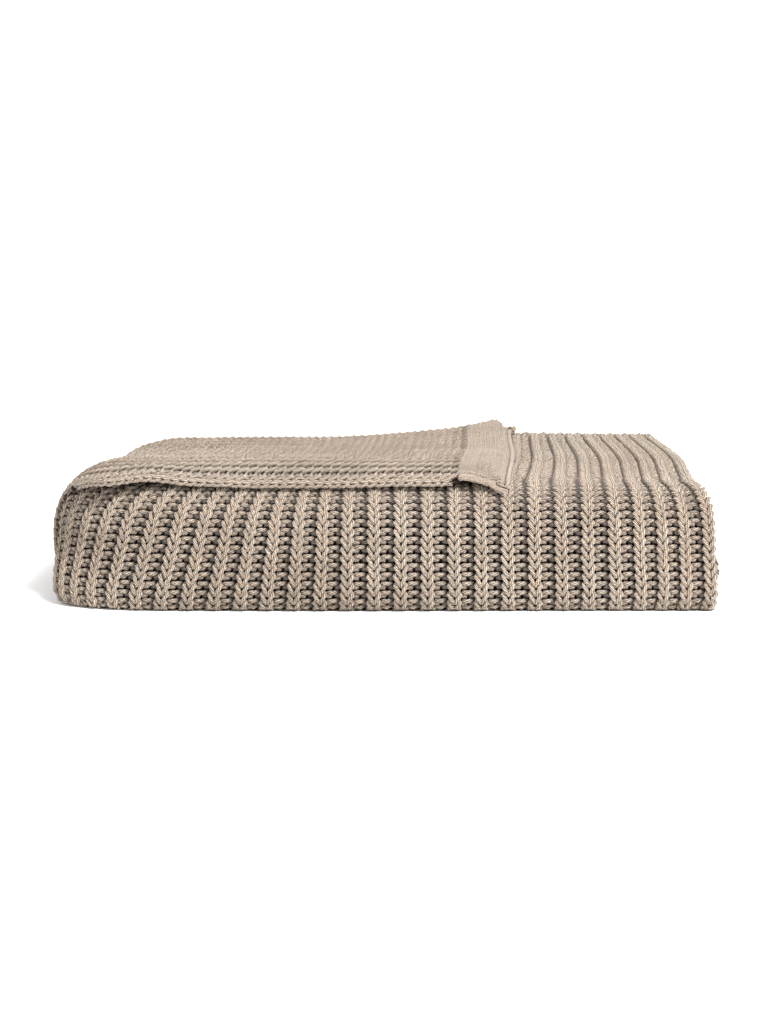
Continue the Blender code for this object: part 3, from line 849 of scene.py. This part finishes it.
def yarnMaterial(name):
    look = yarnLooks[name]
    material, tree, shader = newMaterial(name, 0.88, 0.25)
    times, most = sums(tree, "MULTIPLY", "MAXIMUM")
    ring = addNode(tree, "ShaderNodeAttribute", attribute_name="yarnRing").outputs["Vector"]
    along = addNode(tree, "ShaderNodeAttribute", attribute_name="yarnAlong").outputs["Fac"]
    deep = addNode(tree, "ShaderNodeAttribute", attribute_name="yarnDepth").outputs["Fac"]
    given = {"Ring": ring, "Along": along, "Turn length": look["turn"], "Fibre scale": look["fibre"]}
    twist = grouped(tree, plyTwist, given)
    _, colour = heathered(tree, look["light"], look["dark"])
    # Painted shade: the yarn is darkened down in the hollows, by how deep the stitch lies, and in the grooves between
    # the plies
    paintedShade = times(ramp(tree, deep, 0.52, -0.50), look["deep"])
    paintedShade = most(paintedShade, times(twist["Groove"], look["groove"]))
    feed(tree, shader.inputs["Base Color"], blend(tree, paintedShade, colour, look["shade"]))
    height = {"Height": twist["Height"], "Distance": look["bump"], "Strength": 1.0}
    feed(tree, shader.inputs["Normal"], addNode(tree, "ShaderNodeBump", height).outputs[0])
    shader.inputs["Sheen Weight"].default_value = 0.22
    shader.inputs["Sheen Roughness"].default_value = 0.5
    return material


# Cloth colours: open and dark are the cloth's own, deep is the painted shade put on it where the yarn covers it
clothLook = {"open": (0.50, 0.41, 0.32, 1), "dark": (0.35, 0.287, 0.224, 1), "deep": (0.024, 0.012, 0.006, 1),
             "grain": 700.0, "bump": 0.0008}


def clothMaterial():
    material, tree, shader = newMaterial("pressedKnit", 0.92, 0.2)
    # Painted shade: the cloth is blended toward the deep colour as far as the yarn hides it
    shadeUnderYarn = addNode(tree, "ShaderNodeAttribute", attribute_name="shadeUnderYarn").outputs["Fac"]
    place, colour = heathered(tree, clothLook["open"], clothLook["dark"])
    feed(tree, shader.inputs["Base Color"], blend(tree, shadeUnderYarn, colour, clothLook["deep"]))
    noise = {"Vector": place, "Scale": clothLook["grain"], "Detail": 4.0}
    grain = addNode(tree, "ShaderNodeTexNoise", noise).outputs["Fac"]
    bump = {"Height": grain, "Distance": clothLook["bump"], "Strength": 0.8}
    feed(tree, shader.inputs["Normal"], addNode(tree, "ShaderNodeBump", bump).outputs[0])
    return material


ribYarn, bandYarn = yarnMaterial("ribYarn"), yarnMaterial("bandYarn")
pressedKnit = clothMaterial()
ribTree, bandTree = stitchTree(ribYarn), stitchTree(bandYarn)
print("yarns ready")

# Camera at the photo's angle
camera = {"away": 2.0, "height": 0.3545, "down": 8.1, "lens": 101.87, "front": -0.1766}
cameraData = bpy.data.cameras.new("camera")
cameraData.lens = camera["lens"]
cameraData.sensor_width = 36.0
cameraObject = bpy.data.objects.new("camera", cameraData)
cameraObject.location = (stack["centring"][0], camera["front"] - camera["away"], camera["height"])
cameraObject.rotation_euler = (math.radians(90 - camera["down"]), 0, 0)
scene.collection.objects.link(cameraObject)
scene.camera = cameraObject
print("camera placed")

# The base's stitches: the front, the top right and the fold at the top's back
allWales = 2 * stack["ribs"]
frontStitches = {
    "Points": 12, "Sides": 6, "Yarn radius": 0.00153, "Loop reach": 0.82, "Leg lean": 0.35, "Purl lean": -0.09,
    "Purl share": 0.09, "Relief": 0.0022, "Set in": 0.0020, "Rib rise": 0.0010, "Groove": 0.0014,
    "Wander": 0.095, "First course": 2, "Courses": 24, "Wales": allWales, "Ground": 0.0016,
}
topStitches = {**frontStitches, "Yarn radius": 0.00144, "Rib rise": 0.0001, "Relief": 0.0027, "Wander": 0.12,
               "First course": 26, "Wales": 18}
foldStitches = {
    "Points": 8, "Sides": 5, "Yarn radius": 0.00160, "Loop reach": 0.84, "Leg lean": 0.18, "Relief": 0.0016,
    "Set in": 0.0004, "Rib rise": 0.0006, "Wales": allWales,
}
topFoldStitches = {**foldStitches, "Set in": 0.0020, "Rib rise": 0.0, "Courses": 7}
base, baseCourses = baseGuide()
foldStart = baseCourses - topFoldStitches["Courses"]
frontKnit = knitPiece("frontKnit", base, ribTree, frontStitches)
topStitches["Courses"] = foldStart - topStitches["First course"]
topKnit = knitPiece("topKnit", base, ribTree, topStitches)

# The turned end: its flap on top, its side and the chain along the front edge
flapStitches = {
    "Points": 9, "Sides": 6, "Yarn radius": 0.00134, "Loop reach": 0.84, "Leg lean": 0.36, "Purl lean": -0.12,
    "Purl share": -0.30, "Relief": 0.0030, "Set in": 0.0016, "Rib rise": 0.0010, "Groove": 0.0016,
    "Groove at": 1.32, "Wander": 0.12, "Courses": 47, "Wales": 2 * flap["ribs"], "Ground": 0.0016,
}
hemStitches = {
    "Points": 12, "Sides": 6, "Yarn radius": 0.00138, "Loop reach": 0.88, "Leg lean": 0.26, "Relief": 0.0012,
    "Set in": 0.0012, "Rib": 0.0, "Wander": 0.10, "Wales": 1,
}
turned, turnedCourses = turnedGuide()
flapCourses = flapStitches["Courses"]
sideStitches = {**flapStitches, "First course": flapCourses, "Courses": turnedCourses - flapCourses}
flapKnit = knitPiece("flapKnit", turned, ribTree, flapStitches)
sideKnit = knitPiece("sideKnit", turned, ribTree, sideStitches)
hemSheet, hemCourses = hemGuide()
hemKnit = knitPiece("hemKnit", hemSheet, ribTree, {**hemStitches, "Courses": hemCourses})

# The band's finer stitches
bandStitches = {
    "Points": 10, "Sides": 5, "Yarn radius": 0.00080, "Loop reach": 0.82, "Leg lean": 0.18, "Relief": -0.0016,
    "Set in": 0.0006, "Rib": 0.0, "Wander": 0.20, "Wales": endBand["wales"] - 1,
}
edgeStitches = {
    "Points": 12, "Sides": 6, "Yarn radius": 0.00095, "Loop reach": 0.90, "Leg lean": 0.24, "Relief": 0.0009,
    "Set in": 0.0006, "Rib": 0.0, "Wander": 0.10, "First wale": 4, "Wales": 1,
}
lipStitches = {**edgeStitches, "First wale": 0, "Wales": 2, "Courses": 8}
bandSheet, bandCourses = bandGuide("bandGuide", endBand["wales"], endBand["course"])
bandKnit = knitPiece("bandKnit", bandSheet, bandTree, {**bandStitches, "Courses": bandCourses})
edgeSheet, edgeCourses = bandGuide("edgeGuide", endBand["edgeWales"], endBand["edgeCourse"])
bandEdge = knitPiece("bandEdge", edgeSheet, bandTree, {**edgeStitches, "Courses": edgeCourses})
bandLip = knitPiece("bandLip", lipGuide()[0], bandTree, lipStitches)

# The folds at the back and the edges of the layers
selvedgeStitches = {
    "Points": 9, "Sides": 5, "Yarn radius": 0.00135, "Loop reach": 0.84, "Leg lean": 0.16, "Relief": 0.0010,
    "Set in": 0.0008, "Rib": 0.0, "Wander": 0.08, "Wales": 2,
}
bottomStitches = {**selvedgeStitches, "Ground": 0.0014}
foldKnits = []
for pair in range(stack["innerLayers"] // 2 - 1):
    sheet, courses = foldGuide(pair)
    foldKnits.append(knitPiece("foldKnit" + str(pair + 1), sheet, ribTree, {**foldStitches, "Courses": courses}))
topFoldKnit = knitPiece("topFoldKnit", base, ribTree, {**topFoldStitches, "First course": foldStart})
sheet, courses = selvedgeGuide()
selvedgeKnit = knitPiece("selvedgeKnit", sheet, ribTree, {**selvedgeStitches, "Courses": courses})
sheet, courses = bottomEdgeGuide()
bottomEdgeKnit = knitPiece("bottomEdgeKnit", sheet, ribTree, {**bottomStitches, "Courses": courses})
for guide in guides:
    bpy.data.objects.remove(guide)
print("stitches laid")

# The cloth under the stitches: the folded sheet itself, closed, a little inside the yarn, and darkened with painted
# shade where the yarn hides it
clothSheet = {
    "columns": 40, "edgeIn": 0.0020, "underYarn": 0.0052, "thickness": 0.0018,
    "topRows": 16, "shoulderRows": 14, "footRows": 12,
    "flapColumns": 40, "flapFrom": 0.016, "flapReach": 0.974, "flapDown": 0.0030, "flapThickness": 0.0016,
    "sharpPast": 50,
}


def closedSheet(bm, outer, inner, shadeUnderYarn, layer):  # per row, how much painted shade it gets where the yarn hides it
    top, bottom = [[[bm.verts.new(p) for p in row] for row in rows] for rows in (outer, inner)]
    for rows, mask in zip((top, bottom), shadeUnderYarn):
        for row, value in zip(rows, mask):
            for vert in row:
                vert[layer] = value
        for a, b in zip(rows, rows[1:]):
            for k in range(len(a) - 1):
                bm.faces.new([a[k], a[k + 1], b[k + 1], b[k]])
    for a, b, c, d in zip(top, top[1:], bottom, bottom[1:]):
        bm.faces.new([a[0], b[0], d[0], c[0]])
        bm.faces.new([a[-1], b[-1], d[-1], c[-1]])
    for above, below in ((top[0], bottom[0]), (top[-1], bottom[-1])):
        for k in range(len(above) - 1):
            bm.faces.new([above[k], above[k + 1], below[k + 1], below[k]])


def offsetGrid(grid, distance):
    return grid + outwardOf(grid, True) * distance


def clothPiece(name, bm, sharpPast=None):
    bmesh.ops.recalc_face_normals(bm, faces=bm.faces[:])
    mesh = bpy.data.meshes.new(name)
    bm.to_mesh(mesh)
    bm.free()
    mesh.materials.append(pressedKnit)
    mesh.shade_smooth()
    if sharpPast:
        mesh.set_sharp_from_angle(angle=math.radians(sharpPast))
    return linked(name, mesh)


def makeFoldedCloth():
    bm = bmesh.new()
    layer = bm.verts.layers.float.new("shadeUnderYarn")
    count = clothSheet["columns"]
    columns = [mix(clothSheet["edgeIn"], frontLength, k / count) for k in range(count + 1)]
    outer, inner, mask = [], [], []
    half = stack["innerCloth"] / 2
    # The layers inside get most of the painted shade
    for station in innerStations():
        pairs = [station(s) for s in columns]
        outer.append([settled(p + n * half) for p, n in pairs])
        inner.append([settled(p - n * half) for p, n in pairs])
        mask.append(0.8)

    # From the fold at the top's back, over the top and down the front
    rows = [[settled(topFoldPoint(s, math.radians(a))) for s in columns] for a in range(-90, 90, 20)]
    count = clothSheet["topRows"]
    rows += [[settled(topPoint(s, 1 - k / count)) for s in columns] for k in range(count)]
    shoulder, foot = clothSheet["shoulderRows"], clothSheet["footRows"]
    bends = [90 * (k / shoulder) ** 1.25 for k in range(shoulder, -1, -1)]
    bends += [-90 * (k / foot) ** 3 for k in range(1, foot + 1)]
    rows += [[settled(frontPoint(s, math.radians(a))) for s in columns] for a in bends]
    grid = np.array(rows)
    under, thickness = clothSheet["underYarn"], clothSheet["thickness"]
    outer += offsetGrid(grid, -under).tolist()
    inner += offsetGrid(grid, -under - thickness).tolist()
    # Full painted shade on the sheet under the yarn
    mask += [1.0] * len(rows)
    closedSheet(bm, outer, inner, (mask, mask), layer)

    # The layer on the ground gets no painted shade
    bottom = [[settled(bottomPoint(s, share)) for s in columns] for share in (0.0, 0.5, 1.0)]
    lidHeight = stack["floorLayer"] - bottomLayer["under"]
    lid = [[(x, y, lidHeight) for x, y, z in row] for row in bottom]
    closedSheet(bm, bottom, lid, ([0.0] * 3, [0.0] * 3), layer)

    count = clothSheet["flapColumns"]
    grid = turnedGrid([clothSheet["flapFrom"] + clothSheet["flapReach"] * k / count for k in range(count + 1)])
    down, thickness = clothSheet["flapDown"], clothSheet["flapThickness"]
    outer = offsetGrid(grid, -down).tolist()
    inner = offsetGrid(grid, -down - thickness).tolist()
    # The flap's cloth: full painted shade on its top face, less underneath
    closedSheet(bm, outer, inner, ([1.0] * len(grid), [0.8] * len(grid)), layer)
    return clothPiece("foldedCloth", bm, clothSheet["sharpPast"])


def makeBandCloth():
    bm = bmesh.new()
    layer = bm.verts.layers.float.new("shadeUnderYarn")
    grid, first = bandGrid(), endBand["clothRows"]
    outer = offsetGrid(grid, -endBand["clothDown"])[first:-1, 1:-1].tolist()
    inner = offsetGrid(grid, -endBand["clothUnder"])[first:-1, 1:-1].tolist()
    # Painted shade: full on the band cloth's top face, less underneath
    closedSheet(bm, outer, inner, ([1.0] * len(outer), [0.4] * len(outer)), layer)
    return clothPiece("bandCloth", bm)


# The linking yarn's tied end, at the band's back corner
tie = {"across": 1.02, "share": 0.975, "size": 0.0010, "yarn": 0.0010, "raise": 0.0008, "points": 36}


def makeYarnKnot():
    data = bpy.data.curves.new("yarnKnot", "CURVE")
    data.dimensions = "3D"
    data.bevel_depth, data.bevel_resolution = tie["yarn"], 1
    spline = data.splines.new("POLY")
    spline.points.add(tie["points"] - 1)
    spline.use_cyclic_u = True
    middle = np.array(settled(bandPoint(tie["across"], tie["share"]))) + np.array([0.0, 0.0, tie["raise"]])
    for k, point in enumerate(spline.points):
        t = 2 * math.pi * k / tie["points"]
        loop = np.array([math.sin(t) + 2 * math.sin(2 * t), -math.sin(3 * t), math.cos(t) - 2 * math.cos(2 * t)])
        point.co = (*(middle + loop * tie["size"]), 1.0)
    curve = bpy.data.objects.new("yarnKnotCurve", data)
    scene.collection.objects.link(curve)
    depsgraph = bpy.context.evaluated_depsgraph_get()
    mesh = bpy.data.meshes.new_from_object(curve.evaluated_get(depsgraph))
    bpy.data.objects.remove(curve)
    mesh.materials.clear()
    mesh.materials.append(pressedKnit)
    mesh.shade_smooth()
    return linked("yarnKnot", mesh)


foldedCloth, bandCloth, yarnKnot = makeFoldedCloth(), makeBandCloth(), makeYarnKnot()
print("cloth made")

# Floor and light
studio = {
    "floor": 8.0, "floorColour": (0.975, 0.975, 0.975, 1), "world": 1.04,
    "lights": {  # power, size, place, aim
        "keyLight": (88.0, 0.8, (0.95, -1.35, 1.9), (0, 0, 0.05)),
        "fillLight": (8.0, 1.6, (-1.6, -1.6, 0.9), (0, 0, 0.04)),
        "backLight": (30.0, 1.0, (0.7, 1.7, 1.1), (0.05, 0.05, 0.09)),
    },
}
floorMesh = bpy.data.meshes.new("floor")
reach = studio["floor"]
floorCorners = [(-reach, -reach, 0), (reach, -reach, 0), (reach, reach, 0), (-reach, reach, 0)]
floorMesh.from_pydata(floorCorners, [], [(0, 1, 2, 3)])
floor = bpy.data.objects.new("floor", floorMesh)
scene.collection.objects.link(floor)
floorPaint, _, floorShader = newMaterial("paleFloor", 0.9, 0.5)
floorShader.inputs["Base Color"].default_value = studio["floorColour"]
floorMesh.materials.append(floorPaint)

world = bpy.data.worlds.new("studio")
scene.world = world
world.use_nodes = True
world.node_tree.nodes["Background"].inputs["Color"].default_value = (1, 1, 1, 1)
world.node_tree.nodes["Background"].inputs["Strength"].default_value = studio["world"]


def areaLight(name, power, size, place, aim):
    data = bpy.data.lights.new(name, "AREA")
    data.energy, data.size = power, size
    light = bpy.data.objects.new(name, data)
    light.location = place
    direction = np.array(aim) - np.array(place)
    flatRun = math.hypot(direction[0], direction[1])
    heading = math.atan2(direction[1], direction[0]) - math.pi / 2
    light.rotation_euler = (math.atan2(flatRun, -direction[2]), 0, heading)
    scene.collection.objects.link(light)


for name, light in studio["lights"].items():
    areaLight(name, *light)
print("lights placed")

# Each piece hangs from the root body, and the CAD parts that the pieces stand in for, the throw and the end band, are
# hidden
throwKnits = [frontKnit, topKnit, flapKnit, hemKnit, sideKnit, topFoldKnit, selvedgeKnit, bottomEdgeKnit, *foldKnits]
bandKnits = [bandKnit, bandEdge, bandLip, yarnKnot]
for piece in [foldedCloth, *throwKnits]:
    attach(piece, "root")
    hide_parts("throw")
for piece in [bandCloth, *bandKnits]:
    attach(piece, "root")
    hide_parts("end_band")
